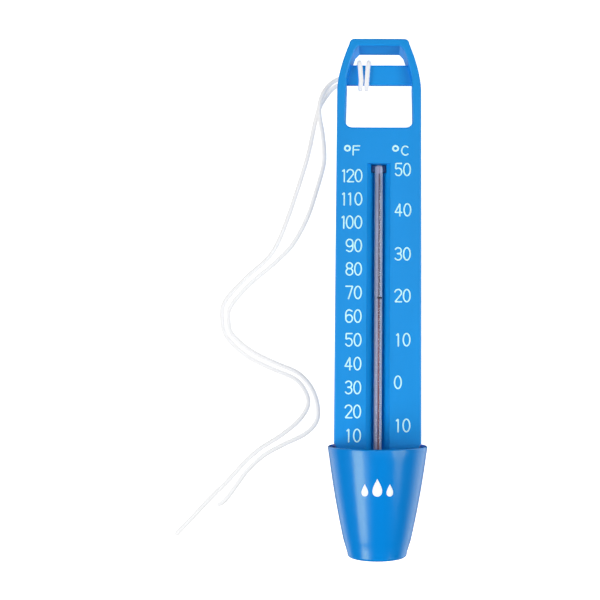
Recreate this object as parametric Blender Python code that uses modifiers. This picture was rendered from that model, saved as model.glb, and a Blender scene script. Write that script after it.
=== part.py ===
"""Floating pool thermometer with a scoop cup, lying on its back with its cord laid out beside it.

The thermometer is designed upright in its own frame: x to the right, y along the tube from the bottom of the
cup (0) to the top of the handle, z towards the reader, with the cup's and the tube's axis at x = z = 0.
An empty then lays it on its back: the cup's rim and the back of the handle touch the ground at world Z = 0.
The cord's two tails are laid in world coordinates, because they lie on the ground. Lengths are in metres.
"""

import math

import bmesh
import bpy
from mathutils import Vector

# Case: a flat moulding with a handle at the top and a tongue that stands in the cup.
LENGTH = 0.2600
FACE_Z = 0.0020
BACK_Z = -0.0095
CASE_HALF_TOP = 0.0214
CASE_HALF_MIDDLE = 0.0216
CASE_HALF_BOTTOM = 0.0217
MIDDLE_Y = 0.1500
SHOULDER_Y = 0.0549
SHOULDER_CORNER = 0.0006
HANDLE_TAPER_Y = 0.2335
TOP_CORNER = 0.0026
EDGE_ROUND = 0.0007
# The handle narrows by TAPER_RATE * rise ** TAPER_POWER, both in millimetres.
TAPER_RATE = 0.0355
TAPER_POWER = 1.62
TONGUE_ROWS = (0.008, 0.015, 0.022, 0.029, 0.036, 0.043, 0.049, 0.053)
TONGUE_CLEARANCE = 0.00042

# Handle opening, its crossbar and the notches that let the cord out under the side walls.
WINDOW_BOTTOM = 0.2140
WINDOW_TOP = 0.2563
WINDOW_HALF = 0.0171
WINDOW_CORNER = 0.0034
HANDLE_BAND = 0.0041
WINDOW_ROWS = (0.2395, 0.2430, 0.2465, 0.2500)
WINDOW_MITRE = 0.0022
MITRE_RUN = 0.0021
LIP_DRAFT = 0.0011
SIDE_DRAFT = 0.0005
BAR_BOTTOM = 0.2371
BAR_TOP = 0.2476
BAR_FRONT = -0.0023
BAR_BACK = -0.0053
BAR_ROUND = 0.0009
NOTCH_LOW = 0.2366
NOTCH_HIGH = 0.2454
NOTCH_DEPTH = 0.0033
NOTCH_IN = 0.0155
NOTCH_OUT = 0.0235
NOTCH_ROUND = 0.0007

# Hollows inside the case, closed by the rear cover.
FACE_WALL = 0.0018
HOLLOW_BOTTOM = 0.0600
HOLLOW_TOP = 0.2096
SIDE_HOLLOW_IN = 0.0074
SIDE_HOLLOW_OUT = 0.0198
MID_HOLLOW_HALF = 0.0058
MID_HOLLOW_FRONT = -0.0046
COVER_LEDGE_Z = -0.0080
COVER_BOTTOM = 0.0572
COVER_TOP = 0.2122
COVER_INSET = 0.0010
COVER_CORNER = 0.0030
RAIL_WALL = 0.0011
RAIL_FRONT = -0.0068
RAIL_HOLLOW_FRONT = -0.0050
FOAM_ROUND = 0.0006

# Channel for the tube, with a wider pocket round its tip and a through-window round its bulb.
CHANNEL_TOP = 0.1954
CHANNEL_BOTTOM = 0.0300
CHANNEL_HALF_FACE = 0.0059
CHANNEL_HALF_FLOOR = 0.0023
CHANNEL_FLOOR_Z = -0.0031
TIP_POCKET_HALF = 0.0039
TIP_POCKET_BOTTOM = 0.1912
TIP_POCKET_TOP = 0.1953
TIP_CUSHION_FRONT = -0.0011
SEAT_CUSHION_FRONT = 0.0008
CUSHION_ROUND = 0.0003
BULB_WINDOW_HALF = 0.0052
BULB_WINDOW_BOTTOM = 0.0070
BULB_WINDOW_TOP = 0.0330
BULB_WINDOW_CORNER = 0.0030
SEAT_HALF = 0.0036
SEAT_BOTTOM = 0.0345
SEAT_TOP = 0.0385
SEAT_FLOOR_Z = -0.0040

# Scoop cup: outer radius = CUP_FOOT + CUP_SLOPE * y - CUP_CURVE * y ** 2, y in metres above its bottom.
CUP_RIM_Y = 0.0540
CUP_FOOT = 0.01463
CUP_SLOPE = 0.2465
CUP_CURVE = 1.13
CUP_WALL = 0.0015
CUP_FLOOR = 0.0050
CUP_FOOT_ROUND = 0.0016
CUP_CHAMFER = 0.0012
CUP_ROWS = (0.0062, 0.0150, 0.0240, 0.0330, 0.0430)
CUP_STEPS = 48
SOCKET_FLOOR = 0.0020
SOCKET_TOP = 0.0058

# Glass tube, its spirit and its scale: 68 F, where the thread stands, and the travel either way.
TUBE_RADIUS = 0.0021
BORE_RADIUS = 0.00065
TUBE_TOP = 0.1949
TUBE_TIP = 0.0012
TUBE_BOTTOM = 0.0262
BORE_TOP = 0.1905
BULB_RADIUS = 0.0037
BULB_WALL = 0.0005
BULB_BOTTOM = 0.0094
BULB_SHOULDER = 0.0205
NECK_BOTTOM = 0.0245
NECK_BULGE = 0.0004
SPIRIT_RADIUS = 0.00035
READING_Y = 0.1276
THREAD_TOP_LENGTH = 0.0030
STRIP_HALF = 0.0018
STRIP_THICKNESS = 0.0005
STRIP_END_GAP = 0.0006
MENISCUS_FALL = 0.0001
MENISCUS_DEPTH = 0.0004
COLUMN_OVERLAP = 0.0002
SPIRIT_NECK_GAP = 0.0005

# Cord: a doubled cord, hitched round the crossbar, whose two tails leave to the left on the ground.
CORD_RADIUS = 0.0012
CORD_LAYER_GAP = 0.00015
HITCH_LEFT = {"bend": 0.0020, "rear_top": -0.0109, "top": -0.0098, "foot": -0.0092, "rear_foot": -0.0100}
HITCH_RIGHT = {"bend": 0.0036, "rear_top": -0.0048, "top": -0.0058, "foot": -0.0063, "rear_foot": -0.0068}
HITCH_INSET = 0.0015
HITCH_BIGHT_Y = 0.2428
HITCH_BIGHT_SPREAD = 0.0011
HITCH_END_X = -0.0132
HITCH_END_HIGH = 0.2423
HITCH_END_LOW = 0.2397
TAIL_STEP = 2 * 2 * CORD_RADIUS

# Gap between pieces that touch, and how far a cutter runs past the surface it opens.
GAP = 0.0003
CUT_PAST = 0.0010

# Lying down: the cup's rim and the top of the handle's back touch the ground.
RIM_RADIUS = CUP_FOOT + CUP_SLOPE * CUP_RIM_Y - CUP_CURVE * CUP_RIM_Y**2
TILT = math.atan((RIM_RADIUS + BACK_Z) / (LENGTH - EDGE_ROUND - CUP_RIM_Y))
REST_Z = CUP_RIM_Y * math.sin(TILT) + RIM_RADIUS * math.cos(TILT)
REST_Y = -0.5 * (
    LENGTH * math.cos(TILT) + FACE_Z * math.sin(TILT) - (CUP_FOOT - CUP_FOOT_ROUND) * math.sin(TILT)
)

# Tails of the cord, from the hitch to their cut ends: hand-laid route points on the ground, in world metres.
TAIL_LONG_ROUTE = [
    (-0.0136, 0.1093, 0.00413),
    (-0.0147, 0.1093, 0.00398),
    (-0.0177, 0.1092, 0.00235),
    (-0.0205, 0.1087, 0.00145),
    (-0.0250, 0.1060, 0.00125),
    (-0.0304, 0.0981, 0.00125),
    (-0.0332, 0.0892, 0.00125),
    (-0.0367, 0.0728, 0.00125),
    (-0.0411, 0.0578, 0.00125),
    (-0.0473, 0.0392, 0.00125),
    (-0.0523, 0.0266, 0.00125),
    (-0.0579, 0.0179, 0.00125),
    (-0.0692, 0.0076, 0.00125),
    (-0.0796, -0.0041, 0.00125),
    (-0.0812, -0.0130, 0.00125),
    (-0.0785, -0.0229, 0.00125),
    (-0.0682, -0.0326, 0.00125),
    (-0.0559, -0.0389, 0.00125),
    (-0.0431, -0.0445, 0.00125),
    (-0.0372, -0.0520, 0.00125),
    (-0.0366, -0.0590, 0.00125),
    (-0.0419, -0.0669, 0.00125),
    (-0.0515, -0.0747, 0.00125),
    (-0.0617, -0.0813, 0.00125),
    (-0.0701, -0.0890, 0.00125),
    (-0.0781, -0.0979, 0.00125),
    (-0.0868, -0.1066, 0.00125),
    (-0.0964, -0.1169, 0.00125),
    (-0.1051, -0.1261, 0.00125),
]
TAIL_SHORT_ROUTE = [
    (-0.0136, 0.1119, 0.00394),
    (-0.0147, 0.1120, 0.00380),
    (-0.0177, 0.1121, 0.00235),
    (-0.0205, 0.1118, 0.00155),
    (-0.0250, 0.1092, 0.00180),
    (-0.0288, 0.1043, 0.00320),
    (-0.0307, 0.0985, 0.00395),
    (-0.0310, 0.0935, 0.00395),
    (-0.0303, 0.0885, 0.00300),
    (-0.0294, 0.0830, 0.00170),
    (-0.0285, 0.0738, 0.00125),
    (-0.0290, 0.0660, 0.00125),
    (-0.0328, 0.0525, 0.00125),
    (-0.0371, 0.0397, 0.00125),
    (-0.0443, 0.0261, 0.00125),
    (-0.0530, 0.0167, 0.00125),
    (-0.0668, 0.0048, 0.00125),
    (-0.0765, -0.0064, 0.00125),
    (-0.0779, -0.0138, 0.00125),
    (-0.0760, -0.0213, 0.00125),
    (-0.0665, -0.0297, 0.00125),
    (-0.0544, -0.0359, 0.00125),
    (-0.0418, -0.0414, 0.00125),
    (-0.0345, -0.0493, 0.00125),
    (-0.0313, -0.0590, 0.00125),
    (-0.0321, -0.0668, 0.00125),
    (-0.0380, -0.0732, 0.00125),
    (-0.0491, -0.0787, 0.00125),
    (-0.0594, -0.0845, 0.00125),
    (-0.0680, -0.0925, 0.00125),
    (-0.0745, -0.1015, 0.00125),
    (-0.0795, -0.1080, 0.00125),
    (-0.0835, -0.1105, 0.00125),
]

CASE_BLUE = (0.021, 0.300, 0.788)
CUP_BLUE = (0.004, 0.250, 0.800)


def clear_scene():
    for obj in list(bpy.data.objects):
        bpy.data.objects.remove(obj, do_unlink=True)


def make_collection(name):
    made = bpy.data.collections.new(name)
    bpy.context.scene.collection.children.link(made)
    return made


def make_material(name, colour, roughness, metallic=0.0, transmission=0.0):
    made = bpy.data.materials.new(name)
    made.use_nodes = True
    shader = made.node_tree.nodes["Principled BSDF"]
    shader.inputs["Base Color"].default_value = (*colour, 1.0)
    shader.inputs["Roughness"].default_value = roughness
    shader.inputs["Metallic"].default_value = metallic
    shader.inputs["Transmission Weight"].default_value = transmission
    return made


def add_object(name, data, material=None, upright=True):
    """A part in the thermometer's frame, or in the world's when it doesn't stand upright in it."""
    obj = bpy.data.objects.new(name, data)
    PARTS.objects.link(obj)
    if material:
        obj.data.materials.append(material)
    if upright:
        obj.parent = LYING
    return obj


def as_cutter(obj):
    PARTS.objects.unlink(obj)
    CUTTERS.objects.link(obj)
    obj.hide_render = True
    obj.display_type = "WIRE"
    return obj


def combine(target, other, operation="DIFFERENCE"):
    step = target.modifiers.new(other.name, "BOOLEAN")
    step.operation = operation
    step.solver = "EXACT"
    step.object = as_cutter(other)


def box(name, low, high, material=None, round_edges=0.0):
    """A block between two corners, its edges rounded if asked."""
    mesh = bpy.data.meshes.new(name)
    shape = bmesh.new()
    bmesh.ops.create_cube(shape, size=1.0)
    size = Vector(high) - Vector(low)
    bmesh.ops.scale(shape, vec=size, verts=shape.verts)
    bmesh.ops.translate(shape, vec=(Vector(high) + Vector(low)) / 2, verts=shape.verts)
    shape.to_mesh(mesh)
    shape.free()
    obj = add_object(name, mesh, material)
    if round_edges:
        bevel = obj.modifiers.new("rounded edges", "BEVEL")
        bevel.width = round_edges
        bevel.segments = 2
    return obj


def prism(name, outlines, low, high, material=None, round_edges=0.0):
    """A plate between two heights from flat outlines; an outline inside another is a hole."""
    curve = bpy.data.curves.new(name + " outline", "CURVE")
    curve.dimensions = "2D"
    curve.fill_mode = "BOTH"
    curve.extrude = (high - low) / 2 - round_edges
    curve.bevel_depth = round_edges
    curve.bevel_resolution = 1
    curve.offset = -round_edges
    for outline in outlines:
        spline = curve.splines.new("POLY")
        spline.points.add(len(outline) - 1)
        for point, (x, y) in zip(spline.points, outline):
            point.co = (x, y, 0.0, 1.0)
        spline.use_cyclic_u = True
    source = bpy.data.objects.new(name + " outline", curve)
    PARTS.objects.link(source)
    bpy.context.view_layer.update()
    mesh = bpy.data.meshes.new_from_object(source.evaluated_get(bpy.context.evaluated_depsgraph_get()))
    bpy.data.objects.remove(source)
    shape = bmesh.new()
    shape.from_mesh(mesh)
    bmesh.ops.remove_doubles(shape, verts=shape.verts, dist=1e-6)
    bmesh.ops.translate(shape, vec=(0.0, 0.0, (high + low) / 2), verts=shape.verts)
    bmesh.ops.recalc_face_normals(shape, faces=shape.faces)
    shape.to_mesh(mesh)
    shape.free()
    mesh.name = name
    mesh.materials.clear()
    return add_object(name, mesh, material)


def groove_cutter(name, y_low, y_high, section):
    """A straight bar along y whose section is given in (x, z)."""
    mesh = bpy.data.meshes.new(name)
    shape = bmesh.new()
    face = shape.faces.new([shape.verts.new((x, y_low, z)) for x, z in section])
    grown = bmesh.ops.extrude_face_region(shape, geom=[face])
    moved = [item for item in grown["geom"] if isinstance(item, bmesh.types.BMVert)]
    bmesh.ops.translate(shape, vec=(0.0, y_high - y_low, 0.0), verts=moved)
    bmesh.ops.recalc_face_normals(shape, faces=shape.faces)
    shape.to_mesh(mesh)
    shape.free()
    return add_object(name, mesh)


def turned(name, profile, steps, material=None):
    """A body turned about the tube's axis, from (radius, y) points that run down its outer side."""
    mesh = bpy.data.meshes.new(name)
    points = [(radius, 0.0, y) for radius, y in profile]
    mesh.from_pydata(points, [(i, i + 1) for i in range(len(points) - 1)], [])
    obj = add_object(name, mesh, material)
    obj.rotation_euler = (-math.pi / 2, 0.0, 0.0)
    screw = obj.modifiers.new("turned", "SCREW")
    screw.axis = "Z"
    screw.steps = steps
    screw.render_steps = steps
    screw.use_merge_vertices = True
    screw.merge_threshold = 1e-5
    screw.use_smooth_shade = True
    return obj


def corner_arc(centre, radius, start, end, steps=4):
    """Points of an arc, angles in degrees."""
    turns = [math.radians(start + (end - start) * i / steps) for i in range(steps + 1)]
    return [(centre[0] + radius * math.cos(t), centre[1] + radius * math.sin(t)) for t in turns]


def mirrored(right_side):
    """A closed outline from its right half, listed from bottom to top."""
    return right_side + [(-x, y) for x, y in reversed(right_side)]


def rounded_rectangle(half, bottom, top, radius):
    right = corner_arc((half - radius, bottom + radius), radius, -90, 0)
    right += corner_arc((half - radius, top - radius), radius, 0, 90)
    return mirrored(right)


def cup_radius(y):
    return CUP_FOOT + CUP_SLOPE * y - CUP_CURVE * y**2


def tongue_half(y):
    """Half-width of the tongue, whose back corners just clear the inside of the cup."""
    room = cup_radius(y) - CUP_WALL - TONGUE_CLEARANCE
    return math.sqrt(room**2 - BACK_Z**2)


def handle_half(y):
    rise = max(0.0, y - HANDLE_TAPER_Y) * 1000
    return CASE_HALF_TOP - TAPER_RATE * rise**TAPER_POWER / 1000


def case_outline():
    """Tongue, shoulders resting over the cup's rim, straight sides and tapered handle."""
    tongue_foot = SOCKET_FLOOR + GAP
    right = [(tongue_half(tongue_foot), tongue_foot)]
    right += [(tongue_half(y), y) for y in TONGUE_ROWS]
    right.append((CASE_HALF_BOTTOM - SHOULDER_CORNER, SHOULDER_Y - SHOULDER_CORNER / 2))
    right.append((CASE_HALF_BOTTOM, SHOULDER_Y + SHOULDER_CORNER / 2))
    right.append((CASE_HALF_MIDDLE, MIDDLE_Y))
    top_of_sides = LENGTH - TOP_CORNER
    span = top_of_sides - HANDLE_TAPER_Y
    right += [(handle_half(y), y) for y in (HANDLE_TAPER_Y + span * i / 8 for i in range(9))]
    corner_x = handle_half(top_of_sides) - TOP_CORNER
    right += corner_arc((corner_x, top_of_sides), TOP_CORNER, 18, 90)
    return mirrored(right)


def window_outline(grow, draft):
    """Handle opening at one depth; draft is 0 in front and 1 behind, where it is narrowest."""
    corner = (WINDOW_HALF - WINDOW_CORNER, WINDOW_BOTTOM + WINDOW_CORNER)
    right = corner_arc(corner, WINDOW_CORNER + grow, -90, 0)
    top = WINDOW_TOP + grow - LIP_DRAFT * draft
    span = WINDOW_ROWS[-1] - WINDOW_ROWS[0]
    for y in [*WINDOW_ROWS, top - WINDOW_MITRE]:
        lean = SIDE_DRAFT * draft * min(1.0, (y - WINDOW_ROWS[0]) / span)
        right.append((min(WINDOW_HALF, handle_half(y) - HANDLE_BAND) + grow - lean, y))
    right.append((right[-1][0] - MITRE_RUN, top))
    return mirrored(right)


def window_cutter():
    """The handle opening, with rounded edges in front and drafted walls."""
    soft = EDGE_ROUND * (1 - math.sqrt(0.5))
    depths = [(FACE_Z + CUT_PAST, EDGE_ROUND, 0.0), (FACE_Z, EDGE_ROUND, 0.0), (FACE_Z - soft, soft, 0.0)]
    depths += [(FACE_Z - EDGE_ROUND, 0.0, 0.0), (BACK_Z, 0.0, 1.0), (BACK_Z - CUT_PAST, 0.0, 1.0)]
    mesh = bpy.data.meshes.new("window")
    shape = bmesh.new()
    rings = []
    for z, grow, draft in depths:
        rings.append([shape.verts.new((x, y, z)) for x, y in window_outline(grow, draft)])
    for ring, deeper in zip(rings, rings[1:]):
        for i in range(len(ring)):
            j = (i + 1) % len(ring)
            shape.faces.new((ring[i], ring[j], deeper[j], deeper[i]))
    shape.faces.new(rings[0])
    shape.faces.new(rings[-1])
    bmesh.ops.triangulate(shape, faces=shape.faces)
    bmesh.ops.recalc_face_normals(shape, faces=shape.faces)
    shape.to_mesh(mesh)
    shape.free()
    return add_object("window", mesh)


def cover_outline(inset):
    """Back opening of the case, set in from its sides."""
    half = CASE_HALF_TOP - COVER_INSET - inset
    return rounded_rectangle(half, COVER_BOTTOM + inset, COVER_TOP - inset, COVER_CORNER - inset)


def front_shell(blue):
    shell = prism("front_shell", [case_outline()], BACK_Z, FACE_Z, blue, EDGE_ROUND)
    combine(shell, window_cutter())
    reach = WINDOW_HALF + BAR_ROUND + GAP
    bar = box("crossbar", (-reach, BAR_BOTTOM, BAR_BACK), (reach, BAR_TOP, BAR_FRONT), round_edges=BAR_ROUND)
    combine(shell, bar, "UNION")
    for side in (-1, 1):
        ends = sorted((side * SIDE_HOLLOW_IN, side * SIDE_HOLLOW_OUT))
        low = (ends[0], HOLLOW_BOTTOM, BACK_Z - CUT_PAST)
        high = (ends[1], HOLLOW_TOP, FACE_Z - FACE_WALL)
        combine(shell, box(f"side hollow {side}", low, high))
        ends = sorted((side * NOTCH_IN, side * NOTCH_OUT))
        low = (ends[0], NOTCH_LOW, BACK_Z - CUT_PAST)
        high = (ends[1], NOTCH_HIGH, BACK_Z + NOTCH_DEPTH)
        combine(shell, box(f"cord notch {side}", low, high, round_edges=NOTCH_ROUND))
    low = (-MID_HOLLOW_HALF, HOLLOW_BOTTOM, BACK_Z - CUT_PAST)
    combine(shell, box("middle hollow", low, (MID_HOLLOW_HALF, HOLLOW_TOP, MID_HOLLOW_FRONT)))
    combine(shell, prism("cover ledge", [cover_outline(0.0)], BACK_Z - CUT_PAST, COVER_LEDGE_Z))
    widen = (CHANNEL_HALF_FACE - CHANNEL_HALF_FLOOR) / (FACE_Z - CHANNEL_FLOOR_Z)
    outer = CHANNEL_HALF_FACE + widen * CUT_PAST
    floor = CHANNEL_HALF_FLOOR
    section = [(-floor, CHANNEL_FLOOR_Z), (floor, CHANNEL_FLOOR_Z)]
    section += [(outer, FACE_Z + CUT_PAST), (-outer, FACE_Z + CUT_PAST)]
    combine(shell, groove_cutter("tube channel", CHANNEL_BOTTOM, CHANNEL_TOP, section))
    low = (-TIP_POCKET_HALF, TIP_POCKET_BOTTOM, CHANNEL_FLOOR_Z)
    combine(shell, box("tip pocket", low, (TIP_POCKET_HALF, TIP_POCKET_TOP, 0.0)))
    hole = rounded_rectangle(BULB_WINDOW_HALF, BULB_WINDOW_BOTTOM, BULB_WINDOW_TOP, BULB_WINDOW_CORNER)
    combine(shell, prism("bulb window", [hole], BACK_Z - CUT_PAST, FACE_Z + CUT_PAST))
    low = (-SEAT_HALF, SEAT_BOTTOM, SEAT_FLOOR_Z)
    combine(shell, box("grommet seat", low, (SEAT_HALF, SEAT_TOP, FACE_Z + CUT_PAST)))
    return shell


def rear_cover(blue):
    """Flat plate in the case's back, with a locating rail that drops into the middle hollow."""
    cover = prism("rear_cover", [cover_outline(GAP)], BACK_Z, COVER_LEDGE_Z - GAP, blue)
    half = MID_HOLLOW_HALF - GAP
    bottom = HOLLOW_BOTTOM + GAP
    top = HOLLOW_TOP - GAP
    low = (-half, bottom, COVER_LEDGE_Z - 2 * GAP)
    combine(cover, box("locating rail", low, (half, top, RAIL_FRONT)), "UNION")
    low = (-half + RAIL_WALL, bottom + RAIL_WALL, COVER_LEDGE_Z - GAP)
    combine(cover, box("rail hollow", low, (half - RAIL_WALL, top - RAIL_WALL, RAIL_HOLLOW_FRONT)))
    return cover


def scoop_cup(blue):
    lip = CUP_WALL / 2
    rim = CUP_RIM_Y - lip
    rim_mid = cup_radius(CUP_RIM_Y) - lip
    profile = [(0.0, CUP_FLOOR), (cup_radius(CUP_FLOOR) - CUP_WALL - CUP_CHAMFER, CUP_FLOOR)]
    profile += [(cup_radius(y) - CUP_WALL, y) for y in CUP_ROWS]
    profile += list(reversed(corner_arc((rim_mid, rim), lip, 0, 180)))
    profile += [(cup_radius(y), y) for y in reversed(CUP_ROWS[1:])]
    foot = (CUP_FOOT - CUP_FOOT_ROUND, CUP_FOOT_ROUND)
    profile += corner_arc(foot, CUP_FOOT_ROUND, 10, -90)
    profile.append((0.0, 0.0))
    cup = turned("scoop_cup", profile, CUP_STEPS, blue)
    # A socket in the cup's floor takes the foot of the tongue.
    wide = tongue_half(CUP_FLOOR) + GAP
    low = (-wide, SOCKET_FLOOR, BACK_Z - GAP)
    combine(cup, box("tongue socket", low, (wide, SOCKET_TOP, FACE_Z + GAP)))
    return cup


def float_foam(name, side, white):
    """Closed-cell block that fills one side hollow and keeps a leaking case afloat."""
    ends = sorted((side * (SIDE_HOLLOW_IN + GAP), side * (SIDE_HOLLOW_OUT - GAP)))
    low = (ends[0], HOLLOW_BOTTOM + GAP, COVER_LEDGE_Z + GAP)
    high = (ends[1], HOLLOW_TOP - GAP, FACE_Z - FACE_WALL - GAP)
    return box(name, low, high, white, round_edges=FOAM_ROUND)


def glass_stem(glass):
    """Tube with a flattened tip and a closed bore."""
    profile = []
    for i in range(6):
        t = math.radians(18 * i)
        profile.append((TUBE_RADIUS * math.sin(t), TUBE_TOP - TUBE_TIP * (1 - math.cos(t))))
    profile += [(TUBE_RADIUS, TUBE_BOTTOM), (BORE_RADIUS, TUBE_BOTTOM)]
    profile += [(BORE_RADIUS, BORE_TOP), (0.0, BORE_TOP + BORE_RADIUS)]
    return turned("glass_stem", profile, 24, glass)


def bulb_side(radius, bottom, shoulder, neck_radius, neck_bottom):
    """Right side of the bulb from its neck down to its end, for the glass outside or the hollow inside."""
    middle = (radius + neck_radius) / 2
    side = [(neck_radius, neck_bottom), (middle, (neck_bottom + shoulder) / 2 + NECK_BULGE)]
    side.append((radius, shoulder))
    return side + corner_arc((0.0, bottom + radius), radius, 0, -90, 5)


def glass_bulb(glass):
    top = TUBE_BOTTOM - GAP
    outside = bulb_side(BULB_RADIUS, BULB_BOTTOM, BULB_SHOULDER, TUBE_RADIUS, NECK_BOTTOM)
    inner = BULB_RADIUS - BULB_WALL
    inside = bulb_side(inner, BULB_BOTTOM + BULB_WALL, BULB_SHOULDER - GAP, BORE_RADIUS, NECK_BOTTOM)
    profile = [(TUBE_RADIUS, top)] + outside + list(reversed(inside)) + [(BORE_RADIUS, top)]
    bulb = turned("glass_bulb", profile + [(TUBE_RADIUS, top)], 24, glass)
    return bulb


def bulb_spirit(red):
    """Spirit in the bulb, ending below the thread in the bore."""
    radius = BULB_RADIUS - BULB_WALL - GAP
    low = BULB_BOTTOM + BULB_WALL + GAP
    side = bulb_side(radius, low, BULB_SHOULDER - 2 * GAP, SPIRIT_RADIUS, NECK_BOTTOM - SPIRIT_NECK_GAP)
    return turned("bulb_spirit", [(0.0, side[0][1])] + side, 20, red)


def spirit_rod(name, bottom, top, red):
    """A length of spirit in the bore."""
    profile = [(0.0, top), (SPIRIT_RADIUS, top), (SPIRIT_RADIUS, bottom), (0.0, bottom)]
    return turned(name, profile, 12, red)


def spirit_thread(red):
    """The thread stands on the reading: its top piece moves, and the column below it stretches."""
    foot = READING_Y - THREAD_TOP_LENGTH
    spirit_rod("spirit_column", NECK_BOTTOM - COLUMN_OVERLAP, foot - GAP, red)
    top = turned("spirit_thread_top", [
        (0.0, THREAD_TOP_LENGTH / 2),
        (SPIRIT_RADIUS * 0.7, THREAD_TOP_LENGTH / 2 - MENISCUS_FALL),
        (SPIRIT_RADIUS, THREAD_TOP_LENGTH / 2 - MENISCUS_DEPTH),
        (SPIRIT_RADIUS, -THREAD_TOP_LENGTH / 2),
        (0.0, -THREAD_TOP_LENGTH / 2),
    ], 12, red)
    top.location = (0.0, READING_Y - THREAD_TOP_LENGTH / 2, 0.0)


def enamel_strip(white):
    """White backing that lies between the tube and the channel's floor."""
    front = -TUBE_RADIUS - GAP
    low = (-STRIP_HALF, SEAT_TOP + STRIP_END_GAP, front - STRIP_THICKNESS)
    return box("enamel_strip", low, (STRIP_HALF, TIP_POCKET_BOTTOM - STRIP_END_GAP, front), white)


def cushion(name, ends, half, floor, front, rubber):
    """Soft block with a trough in which the tube lies."""
    low = (-half + GAP, ends[0] + GAP, floor + GAP)
    high = (half - GAP, ends[1] - GAP, front)
    block = box(name, low, high, rubber, round_edges=CUSHION_ROUND)
    reach = TUBE_RADIUS + GAP
    section = corner_arc((0.0, 0.0), reach, 180, 360, 10) + [(reach, FACE_Z), (-reach, FACE_Z)]
    combine(block, groove_cutter(name + " trough", ends[0] - CUT_PAST, ends[1] + CUT_PAST, section))
    return block


def rounded_route(points, step):
    """Evenly spaced points on a smooth curve through the route's points."""
    route = [Vector(p) for p in points]
    ends = [2 * route[0] - route[1]] + route + [2 * route[-1] - route[-2]]
    fine = []
    for before, start, end, after in zip(ends, ends[1:], ends[2:], ends[3:]):
        for i in range(24):
            t = i / 24
            pull = (end - before) * t + (2 * before - 5 * start + 4 * end - after) * t**2
            fine.append(start + 0.5 * (pull + (3 * start - before - 3 * end + after) * t**3))
    fine.append(route[-1])
    lengths = [0.0]
    for a, b in zip(fine, fine[1:]):
        lengths.append(lengths[-1] + (b - a).length)
    count = max(2, round(lengths[-1] / step))
    even, j = [], 0
    for i in range(count + 1):
        wanted = lengths[-1] * i / count
        while j < len(fine) - 2 and lengths[j + 1] < wanted:
            j += 1
        share = (wanted - lengths[j]) / (lengths[j + 1] - lengths[j])
        even.append(fine[j].lerp(fine[j + 1], min(1.0, share)))
    return even


def cord_tube(name, points, white, upright=False):
    """Plain round tube with closed ends."""
    curve = bpy.data.curves.new(name, "CURVE")
    curve.dimensions = "3D"
    curve.bevel_depth = CORD_RADIUS
    curve.bevel_resolution = 2
    curve.use_fill_caps = True
    spline = curve.splines.new("POLY")
    spline.points.add(len(points) - 1)
    for point, place in zip(spline.points, points):
        point.co = (*place, 1.0)
    return add_object(name, curve, white, upright)


def hitch_route():
    """One cord from its high end, over and under the bar twice, with its bight behind, to its low end."""
    front = BAR_FRONT + GAP + CORD_RADIUS
    inner = BAR_BACK - GAP - CORD_RADIUS
    outer = inner - 2 * CORD_RADIUS - CORD_LAYER_GAP
    turn = (front - inner) / 2
    middle_z = (front + inner) / 2
    over_y = BAR_TOP - HITCH_INSET
    under_y = BAR_BOTTOM + HITCH_INSET

    def over_bar(strand, steps=6):
        """From behind, over the top, to the front."""
        points = []
        for i in range(steps + 1):
            t = math.pi * (i / steps - 0.5)
            x = strand["rear_top"] + (strand["top"] - strand["rear_top"]) * i / steps
            points.append((x, over_y + turn * math.cos(t), middle_z + turn * math.sin(t)))
        return points

    def under_bar(strand, steps=6):
        """From the front, under the bar, to the outer layer behind."""
        points = []
        for i in range(steps + 1):
            t = math.pi * i / steps
            reach = turn if i <= steps / 2 else middle_z - outer
            x = strand["foot"] + (strand["rear_foot"] - strand["foot"]) * i / steps
            points.append((x, under_y - turn * math.sin(t), middle_z + reach * math.cos(t)))
        return points

    left, right = HITCH_LEFT, HITCH_RIGHT
    high_centre = (left["rear_top"] - left["bend"], HITCH_END_HIGH + left["bend"])
    points = [(HITCH_END_X, HITCH_END_HIGH, inner)]
    points += [(x, y, inner) for x, y in corner_arc(high_centre, left["bend"], -90, 0, 5)]
    points += over_bar(left) + under_bar(left)
    middle = (left["rear_foot"] + right["rear_foot"]) / 2
    bight = (right["rear_foot"] - left["rear_foot"]) / 2 + HITCH_BIGHT_SPREAD
    points += [(x, y, outer) for x, y in corner_arc((middle, HITCH_BIGHT_Y), bight, 180, 0, 6)]
    points += list(reversed(under_bar(right))) + list(reversed(over_bar(right)))
    low_centre = (right["rear_top"] - right["bend"], HITCH_END_LOW + right["bend"])
    points += [(x, y, inner) for x, y in corner_arc(low_centre, right["bend"], 0, -90, 5)]
    points.append((HITCH_END_X, HITCH_END_LOW, inner))
    return points


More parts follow.
